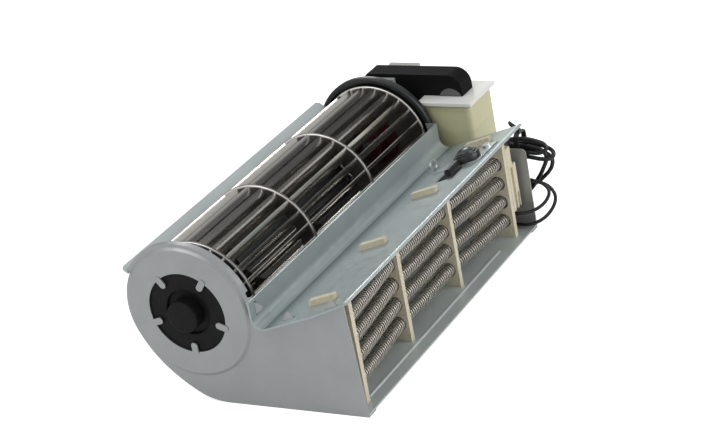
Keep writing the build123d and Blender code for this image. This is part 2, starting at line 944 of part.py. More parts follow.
# Motor: C-shaped core, separate coil limb, bobbin and winding
with BuildPart() as stator_core:
    with BuildSketch(station(core_y)):
        with BuildLine():
            Polyline(
                (core_left, core_half_height - core_chamfer),
                (core_left + core_chamfer, core_half_height),
                (core_right, core_half_height),
                (core_right, -core_half_height),
                (core_left + core_chamfer, -core_half_height),
                (core_left, core_chamfer - core_half_height),
                close=True,
            )
        make_face()
        fillet(vertices().group_by(Axis.X)[-1], core_corner)
        with Locations((window_start, 0)):
            Rectangle(
                2 * (core_right - window_start),
                2 * limb_half_height,
                align=(Align.MIN, Align.CENTER),
                mode=Mode.SUBTRACT,
            )
        add(limb_section(fit_gap), mode=Mode.SUBTRACT)
        Circle(rotor_radius + rotor_gap, mode=Mode.SUBTRACT)
        with Locations(*bolts):
            Circle(bolt_radius + fit_gap, mode=Mode.SUBTRACT)
        for turn in (1, -1):
            for x, z in (shading_near, shading_far):
                with Locations((turn * x, turn * z)):
                    Circle(shading_radius + fit_gap, mode=Mode.SUBTRACT)
    extrude(amount=-core_stack)
save(stator_core, "stator_core")

with BuildPart() as coil_limb:
    with BuildSketch(station(core_y)):
        add(limb_section())
    extrude(amount=-core_stack)
save(coil_limb, "coil_limb")

limb_hole = (limb_width + 2 * fit_gap, core_stack + 2 * fit_gap)
sleeve = (limb_width + 2 * bobbin_wall, core_stack + 2 * bobbin_wall)
limb_place = (limb_centre, core_y + core_stack / 2)
with BuildPart() as bobbin:
    with BuildSketch(level_plane(-limb_half_height)):
        with Locations(limb_place):
            Rectangle(*sleeve)
            Rectangle(*limb_hole, mode=Mode.SUBTRACT)
    extrude(amount=2 * limb_half_height)
    for foot in (-limb_half_height, limb_half_height - bobbin_flange):
        with BuildSketch(level_plane(foot)):
            with Locations(limb_place):
                Rectangle(2 * bobbin_half_width, 2 * bobbin_half_depth)
                Rectangle(*limb_hole, mode=Mode.SUBTRACT)
        extrude(amount=bobbin_flange)
save(bobbin, "bobbin")

with BuildPart() as winding:
    with BuildSketch(level_plane(bobbin_flange - limb_half_height)):
        with Locations(limb_place):
            RectangleRounded(
                2 * (bobbin_half_width - winding_inset),
                2 * (bobbin_half_depth - winding_inset),
                winding_round,
            )
            Rectangle(sleeve[0] + 2 * fit_gap, sleeve[1] + 2 * fit_gap, mode=Mode.SUBTRACT)
    extrude(amount=2 * (limb_half_height - bobbin_flange))
save(winding, "winding")

# Two copper shading rings through the core beside the rotor
with BuildPart() as shading_rings:
    for turn in (1, -1):
        ends = [Vector(turn * x, turn * z) for x, z in (shading_near, shading_far)]
        middle = (ends[0] + ends[1]) / 2
        span = ends[0] - ends[1]
        for y in (core_y - shading_bar, core_back_y):
            with BuildSketch(station(y)):
                with Locations(Location(middle, (0, 0, degrees(atan2(span.Y, span.X))))):
                    SlotCenterToCenter(span.length, 2 * shading_radius)
            extrude(amount=-shading_bar)
        with BuildSketch(station(core_y)):
            with Locations(*ends):
                Circle(shading_radius)
        extrude(amount=-core_stack)
save(shading_rings, "shading_rings")

# Brackets on the core's two faces; the front one stands on the carrier
front_bracket = bracket(core_y, -1, front_bracket_depth, front_bracket_shoulder)
with BuildPart() as near_bracket:
    add(front_bracket.part)
    with BuildSketch(station(motor_face_y)):
        with Locations(*pillars):
            Circle(pillar_radius)
    extrude(amount=motor_face_y - front_bracket_y)
    with BuildSketch(station(motor_face_y)):
        with Locations(*pillars):
            Circle(mounting_screw_radius + fit_gap)
    extrude(amount=-front_bracket_depth, mode=Mode.SUBTRACT)
save(near_bracket, "near_bracket")

far_bracket = bracket(core_back_y, 1, rear_bracket_depth, rear_bracket_shoulder)
save(far_bracket, "far_bracket")

bearing_width = bracket_wall + bearing_boss_length
for name, y in (
    ("near_motor_bearing", front_bracket_y),
    ("far_motor_bearing", rear_bracket_y - bearing_width),
):
    motor_bearing = turned(
        [
            (y, shaft_radius + running_gap),
            (y + bearing_width, shaft_radius + running_gap),
            (y + bearing_width, bearing_radius),
            (y, bearing_radius),
        ]
    )
    save(motor_bearing, name)

bolt_start = core_y - bracket_wall
bolt_end = core_back_y + bracket_wall
with BuildPart() as core_bolts:
    with BuildSketch(station(bolt_start - bolt_head_height)):
        with Locations(*bolts):
            Circle(bolt_head_radius)
    extrude(amount=-bolt_head_height)
    with BuildSketch(station(bolt_start)):
        with Locations(*bolts):
            Circle(bolt_radius)
    extrude(amount=-(bolt_end + bolt_tail - bolt_start))
save(core_bolts, "core_bolts")

with BuildPart() as core_nuts:
    with BuildSketch(station(bolt_end)):
        with Locations(*bolts):
            RegularPolygon(bolt_head_radius, 6)
            Circle(bolt_radius + fit_gap, mode=Mode.SUBTRACT)
    extrude(amount=-nut_height)
save(core_nuts, "core_nuts")

with BuildPart() as motor_screws:
    with BuildSketch(station(motor_face_y - carrier_web - mounting_head_height)):
        with Locations(*pillars):
            Circle(mounting_head_radius)
    extrude(amount=-mounting_head_height)
    with BuildSketch(station(motor_face_y - carrier_web)):
        with Locations(*pillars):
            Circle(mounting_screw_radius)
    extrude(amount=-mounting_screw_length)
save(motor_screws, "motor_screws")

with BuildPart() as rotor:
    with BuildSketch(station(core_y - rotor_overhang)):
        Circle(rotor_radius)
        Circle(shaft_radius + fit_gap, mode=Mode.SUBTRACT)
    extrude(amount=-(core_stack + 2 * rotor_overhang))
save(rotor, "rotor")

with BuildPart() as rotor_shaft:
    with BuildSketch(station(shaft_start)):
        Circle(shaft_radius)
    extrude(amount=-(shaft_end_y - shaft_start))
save(rotor_shaft, "rotor_shaft")

# Heater: four ceramic supports, each clipped up through a slot in the top plate
rows = [top_row - row * row_pitch for row in range(row_count)]
for number, (y, front, clip_front) in enumerate(
    zip(support_places, support_fronts, clip_fronts), 1
):
    back = front - support_depth
    clip_back = clip_front - clip_length
    with BuildPart() as heater_support:
        with BuildSketch(station(y - support_sheet / 2)):
            with BuildLine():
                Polyline(
                    (back, floor_top),
                    (front, floor_top),
                    (front, under_z(front) - seat_gap),
                    (clip_front, under_z(clip_front) - seat_gap),
                    (clip_front, top_z(clip_front) + clip_height),
                    (clip_back, top_z(clip_back) + clip_height),
                    (clip_back, under_z(clip_back) - seat_gap),
                    (back, under_z(back) - seat_gap),
                    close=True,
                )
            make_face()
            with Locations(*[(front - coil_inset, z) for z in rows]):
                Circle(coil_hole_radius, mode=Mode.SUBTRACT)
        extrude(amount=-support_sheet)
    save(heater_support, f"heater_support_{number}")

end_x = support_fronts[0] - coil_inset
middle_x = support_fronts[1] - coil_inset
with BuildPart() as heating_coils:
    for z in rows:
        with BuildLine() as coil_path:
            FilletPolyline(
                place(end_x, coil_start, z),
                place(end_x, support_places[0], z),
                place(middle_x, support_places[1], z),
                place(middle_x, support_places[2], z),
                place(end_x, support_places[3], z),
                place(end_x, coil_end, z),
                radius=[coil_end_bend, coil_bend, coil_bend, coil_end_bend],
            )
        with BuildSketch(Plane(origin=coil_path.line @ 0, z_dir=coil_path.line % 0)):
            Circle(coil_radius)
        sweep(path=coil_path.line)
save(heating_coils, "heating_coils")

with BuildPart() as coil_links:
    for y, reach, upper, lower in (
        (coil_start, -link_reach, rows[0], rows[1]),
        (coil_start, -link_reach, rows[2], rows[3]),
        (coil_end, far_link_reach, rows[1], rows[2]),
    ):
        with BuildLine() as link_path:
            FilletPolyline(
                place(end_x, y, upper),
                place(end_x, y + reach, upper),
                place(end_x, y + reach, lower),
                place(end_x, y, lower),
                radius=link_bend,
            )
        with BuildSketch(Plane(origin=link_path.line @ 0, z_dir=link_path.line % 0)):
            Circle(link_radius)
        sweep(path=link_path.line)
save(coil_links, "coil_links")

# Terminal insulator behind the last support, with two channels down its front
block_front = support_fronts[-1]
with BuildPart() as terminal_insulator:
    with BuildSketch(side_plane(block_front - block_depth)):
        with BuildLine():
            Polyline(
                (block_y, block_foot),
                (block_y, block_top),
                (block_y + block_length - block_step_length, block_top),
                (block_y + block_length - block_step_length, block_step),
                (block_y + block_length, block_step),
                (block_y + block_length, block_foot),
                close=True,
            )
        make_face()
    extrude(amount=block_depth)
    for start, width, top in (
        (channel_start, channel_width, channel_top),
        (short_channel_start, short_channel_width, short_channel_top),
    ):
        with BuildSketch(side_plane(block_front)):
            with Locations((block_y + start, block_foot)):
                Rectangle(width, top - block_foot, align=Align.MIN)
        extrude(amount=-channel_depth, mode=Mode.SUBTRACT)
    with BuildSketch(station(block_y)):
        with Locations(*[(end_x, z) for z in rows[:3]]):
            Circle(coil_hole_radius)
    extrude(amount=-(coil_end + seat_gap - block_y), mode=Mode.SUBTRACT)
    with BuildSketch(station(block_y)):
        with Locations(*[(end_x, z) for z in rows[1:3]]):
            Circle(link_radius + fit_gap)
    extrude(amount=-block_length, mode=Mode.SUBTRACT)
    with BuildSketch(station(block_y)):
        with Locations((pin_x, rows[0])):
            Circle(pin_radius + fit_gap)
    extrude(amount=block_y - block_pin_end, mode=Mode.SUBTRACT)
    with BuildSketch(station(terminal_end)):
        with Locations((terminal_x, terminal_z)):
            Circle(terminal_radius + fit_gap)
    extrude(amount=terminal_end - block_y - terminal_depth, mode=Mode.SUBTRACT)
save(terminal_insulator, "terminal_insulator")

with BuildPart() as lead_terminals:
    with BuildSketch(station(terminal_end)):
        with Locations((terminal_x, terminal_z)):
            Circle(terminal_radius)
    extrude(amount=terminal_end - block_y - terminal_depth)
    for z, end in ((rows[0], block_pin_end), (rows[-1], pin_end)):
        with BuildSketch(station(end)):
            with Locations((pin_x, z)):
                Circle(pin_radius)
        extrude(amount=end - coil_end)
    with BuildSketch(side_plane(crimp_start)):
        with Locations((pin_end, rows[-1])):
            Circle(crimp_radius)
    extrude(amount=crimp_end - crimp_start)
save(lead_terminals, "lead_terminals")

# Earth tag on the floor, held by a screw
with BuildPart() as earth_tag:
    with BuildSketch(level_plane(floor_top)):
        with Locations((earth_x, earth_y)):
            Circle(earth_ring)
            Rectangle(
                earth_barrel_end - earth_x, earth_ring, align=(Align.MIN, Align.CENTER)
            )
            Circle(earth_screw_radius + fit_gap, mode=Mode.SUBTRACT)
    extrude(amount=earth_sheet)
    with BuildSketch(side_plane(earth_barrel_end)):
        with Locations((earth_y, floor_top + barrel_radius)):
            Circle(barrel_radius)
    extrude(amount=earth_ring + earth_sheet - (earth_barrel_end - earth_x))
save(earth_tag, "earth_tag")

with BuildPart() as earth_screw:
    with BuildSketch(level_plane(-axis_height)):
        with Locations((earth_x, earth_y)):
            Circle(earth_screw_radius)
    extrude(amount=floor_top + earth_sheet + axis_height)
    with BuildSketch(level_plane(floor_top + earth_sheet)):
        with Locations((earth_x, earth_y)):
            Circle(earth_head_radius)
    extrude(amount=earth_head_height)
save(earth_screw, "earth_screw")

# Thermal cut-out on its strap across the opening in the top plate
with BuildPart() as cutout_strap:
    with BuildSketch(deck()):
        with Locations((strap_start, strap_near)):
            Rectangle(strap_end - strap_start, strap_far - strap_near, align=Align.MIN)
        with Locations((strap_pad_start, strap_near)):
            Rectangle(strap_end - strap_pad_start, strap_pad_far - strap_near, align=Align.MIN)
        with Locations((strap_screw_along, strap_screw_y)):
            Circle(strap_screw_radius + fit_gap, mode=Mode.SUBTRACT)
    extrude(amount=strap_sheet)
    ear_plane = Plane(
        origin=deck().from_local_coords((strap_start, (strap_near + strap_far) / 2, 0)),
        x_dir=(0, -1, 0),
        z_dir=(-cos(slope), 0, -sin(slope)),
    )
    with BuildSketch(ear_plane):
        Rectangle(strap_ear_width, strap_ear_height, align=(Align.CENTER, Align.MIN))
        fillet(vertices().group_by(Axis.Y)[-1], strap_ear_round)
        with Locations((0, strap_ear_height - strap_ear_hole - strap_sheet)):
            Circle(strap_ear_hole, mode=Mode.SUBTRACT)
    extrude(amount=strap_sheet)
save(cutout_strap, "cutout_strap")

with BuildPart() as thermal_cutout:
    with BuildSketch(deck(strap_sheet)):
        with Locations((cutout_along, cutout_y)):
            RectangleRounded(cutout_length, cutout_width, cutout_round)
    extrude(amount=cutout_height)
save(thermal_cutout, "thermal_cutout")

with BuildPart() as cutout_cap:
    with BuildSketch(deck(strap_sheet + cutout_height)):
        with Locations((cap_along, cap_y)):
            Circle(cap_radius)
    extrude(amount=cap_height)
save(cutout_cap, "cutout_cap")

with BuildPart() as strap_screw:
    with BuildSketch(deck(strap_sheet)):
        with Locations((strap_screw_along, strap_screw_y)):
            Circle(strap_screw_head)
    extrude(amount=strap_screw_head_height)
    with BuildSketch(deck(strap_sheet)):
        with Locations((strap_screw_along, strap_screw_y)):
            Circle(strap_screw_radius)
    extrude(amount=-strap_screw_length)
save(strap_screw, "strap_screw")

cutout_near = cutout_y - cutout_width / 2
fuse_centre = deck(fuse_lift).from_local_coords((fuse_along, cutout_near, 0))
with BuildPart() as thermal_link:
    with BuildSketch(Plane(origin=fuse_centre, x_dir=(1, 0, 0), z_dir=(0, -1, 0))):
        Circle(fuse_radius)
    extrude(amount=fuse_length)
save(thermal_link, "thermal_link")

# Lead connector on the motor end plate's outer face
connector_place = (
    (connector_start + connector_end) / 2,
    (connector_foot + connector_top) / 2,
)
screw_place = (connector_screw_x, connector_place[1])
clamp_places = [(clamp_screw_x, carrier_y + offset) for offset in clamp_screw_offsets]
with BuildPart() as lead_connector:
    with BuildSketch(station(carrier_y)):
        with Locations(connector_place):
            RectangleRounded(
                connector_end - connector_start,
                connector_top - connector_foot,
                connector_round,
            )
        with Locations(screw_place):
            Circle(connector_screw_radius + fit_gap, mode=Mode.SUBTRACT)
    extrude(amount=-connector_depth)
    with BuildSketch(level_plane(connector_top)):
        with Locations(*clamp_places):
            Circle(clamp_screw_radius + fit_gap)
    extrude(amount=-clamp_screw_depth, mode=Mode.SUBTRACT)
save(lead_connector, "lead_connector")

with BuildPart() as connector_screw:
    with BuildSketch(station(carrier_y + connector_depth)):
        with Locations(screw_place):
            Circle(connector_head_radius)
    extrude(amount=-connector_head_height)
    with BuildSketch(station(carrier_y + connector_depth)):
        with Locations(screw_place):
            Circle(connector_screw_radius)
    extrude(amount=connector_depth)
save(connector_screw, "connector_screw")

with BuildPart() as clamp_screws:
    with BuildSketch(level_plane(connector_top - clamp_screw_depth)):
        with Locations(*clamp_places):
            Circle(clamp_screw_radius)
    extrude(amount=clamp_screw_depth + clamp_screw_proud)
save(clamp_screws, "clamp_screws")

# Leads: one from the insulator and one from the winding into the tied hank, two on from the
# hank, and two from below, all into the connector
strand_routes = {
    "upper_lead": [
        (terminal_x, terminal_end, terminal_z),
        (terminal_x, 188.8, terminal_z),
        (74.6, 192.4, 1.0),
        (72.0, hank_front, 0.6),
    ],
    "motor_lead": [
        (motor_lead_x, hank_middle_y, motor_lead_z),
        (57.4, hank_middle_y, motor_lead_z),
        (61.4, hank_middle_y, -0.4),
        (hank_start, hank_middle_y, -1.6),
    ],
    "hank_strand_near": [
        (91.7, 200.4, -11.2),
        (89.6, 200.4, -15.2),
        (87.2, 200.4, -19.6),
        (84.5, 200.4, -23.5),
        (80.6, 200.4, -28.5),
        (77.2, 200.4, -31.4),
        (connector_end, 200.4, -31.4),
    ],
    "hank_strand_far": [
        (92.6, 203.4, -12.4),
        (92.1, 203.4, -17.2),
        (89.8, 203.4, -20.3),
        (86.9, 203.4, -23.2),
        (82.7, 203.4, -26.6),
        (78.6, 203.4, -28.6),
        (connector_end, 203.4, -28.6),
    ],
}
lower_routes = {
    "heater_lead": [
        (crimp_end, pin_end, rows[-1]),
        (79.6, pin_end, rows[-1]),
        (85.8, 187.6, -35.2),
        (91.0, 191.6, -32.4),
        (93.0, 195.4, -27.8),
        (90.2, 196.2, -24.0),
        (85.2, 196.1, -22.2),
        (79.9, 196.0, -21.2),
        (connector_end, 196.0, -21.2),
    ],
    "earth_lead": [
        (earth_barrel_end, earth_y, floor_top + barrel_radius),
        (75.0, earth_y, floor_top + barrel_radius),
        (82.8, 186.4, -42.8),
        (89.8, 189.4, -40.6),
        (93.6, 194.6, -36.6),
        (95.0, 197.6, -31.2),
        (92.2, 198.2, -26.4),
        (87.2, 198.2, -23.8),
        (81.2, 198.2, -23.4),
        (connector_end, 198.2, -23.4),
    ],
}
for routes, radius in ((strand_routes, strand_radius), (lower_routes, lead_radius)):
    for name, route in routes.items():
        points = [place(*point) for point in route]
        radii = fair_radii(points)
        lead = tube_along(points, radii, radius)
        run = sum((b - a).length for a, b in zip(points, points[1:]))
        print(name, "run", round(run, 1), "volume", round(lead.part.volume, 1))
        print("radii", [round(bend, 1) for bend in radii])
        save(lead, name)

with BuildPart() as lead_hank:
    with BuildSketch(station(hank_front)):
        with BuildLine():
            Polyline(
                (hank_start, -6.0),
                (hank_start, 1.6),
                (70.0, 2.4),
                (83.5, 1.6),
                (92.5, -1.6),
                (97.6, -7.4),
                (96.0, -11.4),
                (84.0, -11.6),
                (68.0, -8.6),
                close=True,
            )
        make_face()
        fillet(vertices(), hank_corner)
    extrude(amount=-hank_depth)
    fillet(edges().filter_by(Plane.XZ), hank_round)
save(lead_hank, "lead_hank")

# Tie round the hank, with its cut tail standing up
with BuildPart() as hank_tie:
    with BuildSketch(side_plane(tie_x - tie_width / 2)):
        with Locations((hank_front + hank_depth / 2, (tie_top + tie_foot) / 2)):
            RectangleRounded(
                hank_depth + 2 * (tie_gap + tie_sheet),
                tie_top - tie_foot + 2 * tie_sheet,
                hank_round + tie_sheet,
            )
            RectangleRounded(
                hank_depth + 2 * tie_gap,
                tie_top - tie_foot,
                hank_round,
                mode=Mode.SUBTRACT,
            )
    extrude(amount=tie_width)
    with BuildSketch(station(tie_tail_y)):
        with BuildLine():
            Polyline(
                (tie_x - tie_width / 2, tie_top + tie_sheet / 2),
                (tie_x + tie_width / 2, tie_top + tie_sheet / 2),
                (tie_x + tie_width / 2, tie_top + 2 * tie_sheet),
                (tie_tip_x, tie_tip_z),
                close=True,
            )
        make_face()
    extrude(amount=-tie_tail_width)
save(hank_tie, "hank_tie")
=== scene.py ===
from math import radians

import bpy
import bmesh
import numpy as np
from mathutils import Matrix, Vector


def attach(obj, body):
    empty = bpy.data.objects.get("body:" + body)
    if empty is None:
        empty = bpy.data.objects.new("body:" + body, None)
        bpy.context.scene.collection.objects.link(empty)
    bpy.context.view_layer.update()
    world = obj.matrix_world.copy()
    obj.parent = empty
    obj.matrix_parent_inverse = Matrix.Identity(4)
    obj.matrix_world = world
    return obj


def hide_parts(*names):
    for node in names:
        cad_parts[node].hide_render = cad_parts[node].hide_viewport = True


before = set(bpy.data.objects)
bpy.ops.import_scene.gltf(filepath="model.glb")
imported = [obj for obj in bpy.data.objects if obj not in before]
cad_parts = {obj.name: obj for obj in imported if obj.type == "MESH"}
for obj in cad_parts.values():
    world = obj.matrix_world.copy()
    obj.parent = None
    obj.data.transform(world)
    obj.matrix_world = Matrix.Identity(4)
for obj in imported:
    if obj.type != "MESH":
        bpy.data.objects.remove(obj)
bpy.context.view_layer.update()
print("frame loaded,", len(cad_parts), "pieces")

fanAxis = (-25.3, -115.75, 46.3)  # fan axis at the bearing end plate's face, in mm
mm = 0.001


def toRow(points):
    """Points measured in mm from the fan axis, moved to the part's own frame in metres."""
    return (np.asarray(points, dtype=float) + np.array(fanAxis)) * mm


# Camera: placed from the photograph, with no shift and no depth of field
camera = {
    "place": (0.512485, -0.819030, 0.470008),
    "turn": 31.77,
    "dip": 23.94,
    "roll": 10.85,
    "focal": 2161.24,
    "imageWidth": 727,
    "sensor": 36.0,
    "nearest": 0.05,
    "farthest": 20,
}
camData = bpy.data.cameras.new("photoCamera")
camData.sensor_width = camera["sensor"]
camData.lens = camera["sensor"] * camera["focal"] / camera["imageWidth"]
camData.clip_start = camera["nearest"]
camData.clip_end = camera["farthest"]
camObject = bpy.data.objects.new("photoCamera", camData)
bpy.context.scene.collection.objects.link(camObject)
camObject.matrix_world = (
    Matrix.Translation(camera["place"])
    @ Matrix.Rotation(radians(camera["turn"]), 4, "Z")
    @ Matrix.Rotation(radians(90 - camera["dip"]), 4, "X")
    @ Matrix.Rotation(-radians(camera["roll"]), 4, "Z")
)
bpy.context.scene.camera = camObject
bpy.context.scene.view_settings.view_transform = "Standard"


# Materials
def newMaterial(name, colour, metallic=0.0, roughness=0.5, specular=0.5):
    """Principled shader with its plain values on its own sockets; returns material, node tree and shader."""
    material = bpy.data.materials.new(name)
    material.use_nodes = True
    tree = material.node_tree
    shader = tree.nodes["Principled BSDF"]
    shader.inputs["Base Color"].default_value = (*colour, 1)
    shader.inputs["Metallic"].default_value = metallic
    shader.inputs["Roughness"].default_value = roughness
    shader.inputs["Specular IOR Level"].default_value = specular
    return material, tree, shader


def addNode(tree, kind, **settings):
    """New node with its settings; socket values are given by name in a values dictionary."""
    node = tree.nodes.new(kind)
    for key, value in settings.pop("values", {}).items():
        node.inputs[key].default_value = value
    for key, value in settings.items():
        setattr(node, key, value)
    return node


def objectCoordinates(tree, scale=(1, 1, 1)):
    """Object coordinates through a mapping node."""
    where = addNode(tree, "ShaderNodeTexCoord")
    mapping = addNode(tree, "ShaderNodeMapping", values={"Scale": scale})
    tree.links.new(where.outputs["Object"], mapping.inputs["Vector"])
    return mapping.outputs["Vector"]


def noise(tree, vector, scale, detail=3.0):
    """Noise texture's factor."""
    node = addNode(tree, "ShaderNodeTexNoise", values={"Scale": scale, "Detail": detail, "Roughness": 0.55})
    tree.links.new(vector, node.inputs["Vector"])
    return node.outputs["Fac"]


def grey(value):
    """A neutral tone: the same value in red, green and blue."""
    return (value, value, value)


def ramp(tree, factor, stops):
    """Colour ramp from pairs of place and colour."""
    node = addNode(tree, "ShaderNodeValToRGB")
    while len(node.color_ramp.elements) < len(stops):
        node.color_ramp.elements.new(0.5)
    for element, (place, colour) in zip(node.color_ramp.elements, stops):
        element.position = place
        element.color = (*colour, 1)
    tree.links.new(factor, node.inputs["Fac"])
    return node.outputs["Color"]


def mixColour(tree, factor, first, second, blend="MIX"):
    """Mix of two colours, each a link or a plain colour."""
    node = addNode(tree, "ShaderNodeMix", data_type="RGBA", blend_type=blend)
    sockets = {"f": node.inputs[0], "a": node.inputs[6], "b": node.inputs[7]}
    for key, value in (("f", factor), ("a", first), ("b", second)):
        if isinstance(value, bpy.types.NodeSocket):
            tree.links.new(value, sockets[key])
        elif key == "f":
            sockets[key].default_value = value
        else:
            sockets[key].default_value = (*value, 1)
    return node.outputs[2]


def product(tree, first, second):
    """Two colours multiplied."""
    return mixColour(tree, 1.0, first, second, "MULTIPLY")


def clouds(tree, vector, scale, low, detail=4.0, start=0.3, end=0.7):
    """Cloudy tone: noise that goes from the low colour at its start to white at its end."""
    return ramp(tree, noise(tree, vector, scale, detail), [(start, low), (end, grey(1.0))])


def colourFrom(tree, shader, tone, tint):
    """Base colour: the tint multiplied by a tone."""
    tree.links.new(product(tree, tone, tint), shader.inputs["Base Color"])


def roughnessFrom(tree, shader, factor, low, high):
    """Roughness that goes from low to high with a factor between 0.3 and 0.7."""
    rough = ramp(tree, factor, [(0.3, grey(low)), (0.7, grey(high))])
    tree.links.new(rough, shader.inputs["Roughness"])


def reliefFrom(tree, shader, height, strength, distance):
    """Bump in the surface from a height, its distance in metres."""
    node = addNode(tree, "ShaderNodeBump", values={"Strength": strength, "Distance": distance})
    tree.links.new(height, node.inputs["Height"])
    tree.links.new(node.outputs["Normal"], shader.inputs["Normal"])


def vectorMath(tree, operation, first, second):
    """Vector operation between a link and a second link or plain vector."""
    node = addNode(tree, "ShaderNodeVectorMath", operation=operation)
    tree.links.new(first, node.inputs[0])
    if isinstance(second, bpy.types.NodeSocket):
        tree.links.new(second, node.inputs[1])
    else:
        node.inputs[1].default_value = second
    return node


# Painted shade inside the scroll: full from the fan axis to its start, none from its end, in metres; a face
# is inside where its normal, multiplied by the way from the axis, gives less than facing
scrollPaintedShade = {"start": 0.040, "end": 0.049, "tone": 0.30, "facing": -0.01}


def paintedInsideShade(tree, vector):
    """Painted shade: darker where the sheet's normal points to the fan axis and its distance from that axis
    is small.
    """
    axis = toRow([0.0, 0.0, 0.0])
    offset = vectorMath(tree, "SUBTRACT", vector, (axis[0], 0.0, axis[2]))
    flat = vectorMath(tree, "MULTIPLY", offset.outputs["Vector"], (1.0, 0.0, 1.0)).outputs["Vector"]
    distance = addNode(tree, "ShaderNodeVectorMath", operation="LENGTH")
    tree.links.new(flat, distance.inputs[0])
    where = addNode(tree, "ShaderNodeTexCoord")
    facing = vectorMath(tree, "DOT_PRODUCT", flat, where.outputs["Normal"])
    stops = [(scrollPaintedShade["start"], grey(1.0)), (scrollPaintedShade["end"], grey(0.0))]
    near = ramp(tree, distance.outputs["Value"], stops)
    inward = addNode(tree, "ShaderNodeMath", operation="LESS_THAN")
    tree.links.new(facing.outputs["Value"], inward.inputs[0])
    inward.inputs[1].default_value = scrollPaintedShade["facing"]
    both = product(tree, near, inward.outputs["Value"])
    return mixColour(tree, both, grey(1.0), grey(scrollPaintedShade["tone"]))


def galvanisedSheet(name, tint, roughness=0.38, metallic=0.55, spangle=0.02):
    """Zinc-coated sheet: cells of slightly different tone, faint cloudy stains, fine rolling lines and
    painted shade inside the scroll near the fan axis.
    """
    material, tree, shader = newMaterial(name, tint, metallic, roughness)
    vector = objectCoordinates(tree)
    cells = addNode(tree, "ShaderNodeTexVoronoi", values={"Scale": 170.0, "Randomness": 1.0})
    tree.links.new(vector, cells.inputs["Vector"])
    cellTone = ramp(tree, cells.outputs["Color"], [(0.0, grey(1 - spangle)), (1.0, grey(1.0))])
    tone = product(tree, cellTone, clouds(tree, vector, scale=38.0, low=grey(0.90)))
    # Painted shade: the sheet is darkened inside the scroll near the fan axis
    colourFrom(tree, shader, product(tree, tone, paintedInsideShade(tree, vector)), tint)
    roughnessFrom(tree, shader, noise(tree, vector, scale=260.0), roughness - 0.06, roughness + 0.07)
    lines = objectCoordinates(tree, (900.0, 14.0, 900.0))
    reliefFrom(tree, shader, noise(tree, lines, scale=1.0, detail=2.0), strength=0.05, distance=0.0002)
    return material


def brushedMetal(
    name, tint, roughness, marks=(1200.0, 60.0, 1200.0), metallic=1.0, strength=0.10, patch=0.16
):
    """Metal with fine marks, so many per metre along each axis, and a slightly uneven tone."""
    material, tree, shader = newMaterial(name, tint, metallic, roughness)
    vector = objectCoordinates(tree)
    colourFrom(tree, shader, clouds(tree, vector, scale=90.0, low=grey(1 - patch)), tint)
    lines = noise(tree, objectCoordinates(tree, marks), scale=1.0, detail=2.0)
    roughnessFrom(tree, shader, lines, roughness - patch / 3, roughness + patch / 3)
    reliefFrom(tree, shader, lines, strength, distance=0.0001)
    return material


def smoothMetal(name, tint, roughness, marks=(500.0, 16.0, 500.0), patch=0.07):
    """Metal whose marks hardly show."""
    return brushedMetal(name, tint, roughness, marks, 1.0, 0.02, patch)


def mouldedPlastic(name, tint, roughness, grain, depth, variation, specular=0.5):
    """Moulded plastic, rubber or glaze: fine grain in the relief and a faint cloudiness in the colour."""
    material, tree, shader = newMaterial(name, tint, 0.0, roughness, specular)
    vector = objectCoordinates(tree)
    colourFrom(tree, shader, clouds(tree, vector, scale=60.0, low=grey(1 - variation)), tint)
    roughnessFrom(tree, shader, noise(tree, vector, scale=180.0), roughness - 0.05, roughness + 0.06)
    reliefFrom(tree, shader, noise(tree, vector, grain, detail=2.0), strength=0.35, distance=depth)
    return material


def laminatedCore(name, tint, roughness, pitch, specular=0.5):
    """Stack of varnished sheets: a fine ridge for each sheet along the fan axis, 0.314 over the pitch."""
    material, tree, shader = newMaterial(name, tint, 0.0, roughness, specular)
    vector = objectCoordinates(tree)
    layers = addNode(tree, "ShaderNodeTexWave", wave_type="BANDS", bands_direction="Y")
    layers.inputs["Scale"].default_value = 0.314 / pitch
    layers.inputs["Distortion"].default_value = 0.4
    tree.links.new(vector, layers.inputs["Vector"])
    tone = ramp(tree, layers.outputs["Fac"], [(0.0, grey(0.72)), (0.5, grey(1.0))])
    dust = clouds(tree, vector, scale=120.0, low=grey(0.85), detail=5.0, start=0.35)
    colourFrom(tree, shader, product(tree, tone, dust), tint)
    reliefFrom(tree, shader, layers.outputs["Fac"], strength=0.30, distance=0.00012)
    return material


def ceramicBody(name, tint, roughness=0.62):
    """Unglazed pressed ceramic: chalky, speckled, slightly rough, with faint brownish cloudy stains."""
    material, tree, shader = newMaterial(name, tint, 0.0, roughness)
    vector = objectCoordinates(tree)
    speckle = clouds(tree, vector, scale=700.0, low=(0.88, 0.85, 0.80), start=0.35, end=0.6)
    stain = clouds(tree, vector, scale=45.0, low=(0.92, 0.88, 0.80), end=0.65)
    colourFrom(tree, shader, product(tree, speckle, stain), tint)
    reliefFrom(tree, shader, noise(tree, vector, scale=1100.0), strength=0.35, distance=0.0001)
    return material


def tapedWinding(name, tint, lap, roughness=0.5):
    """Cream winding tape: overlapping laps across the winding, 0.157 over the lap's width in metres."""
    material, tree, shader = newMaterial(name, tint, 0.0, roughness)
    vector = objectCoordinates(tree)
    bands = addNode(tree, "ShaderNodeTexWave", wave_type="BANDS", bands_direction="Z", wave_profile="SAW")
    bands.inputs["Scale"].default_value = 0.157 / lap
    bands.inputs["Distortion"].default_value = 0.6
    bands.inputs["Detail"].default_value = 1.0
    tree.links.new(vector, bands.inputs["Vector"])
    tone = ramp(tree, bands.outputs["Fac"], [(0.0, grey(0.90)), (0.12, grey(1.0)), (1.0, grey(0.97))])
    stain = clouds(tree, vector, scale=70.0, low=(0.93, 0.92, 0.84))
    colourFrom(tree, shader, product(tree, tone, stain), tint)
    reliefFrom(tree, shader, bands.outputs["Fac"], strength=0.25, distance=0.00015)
    return material


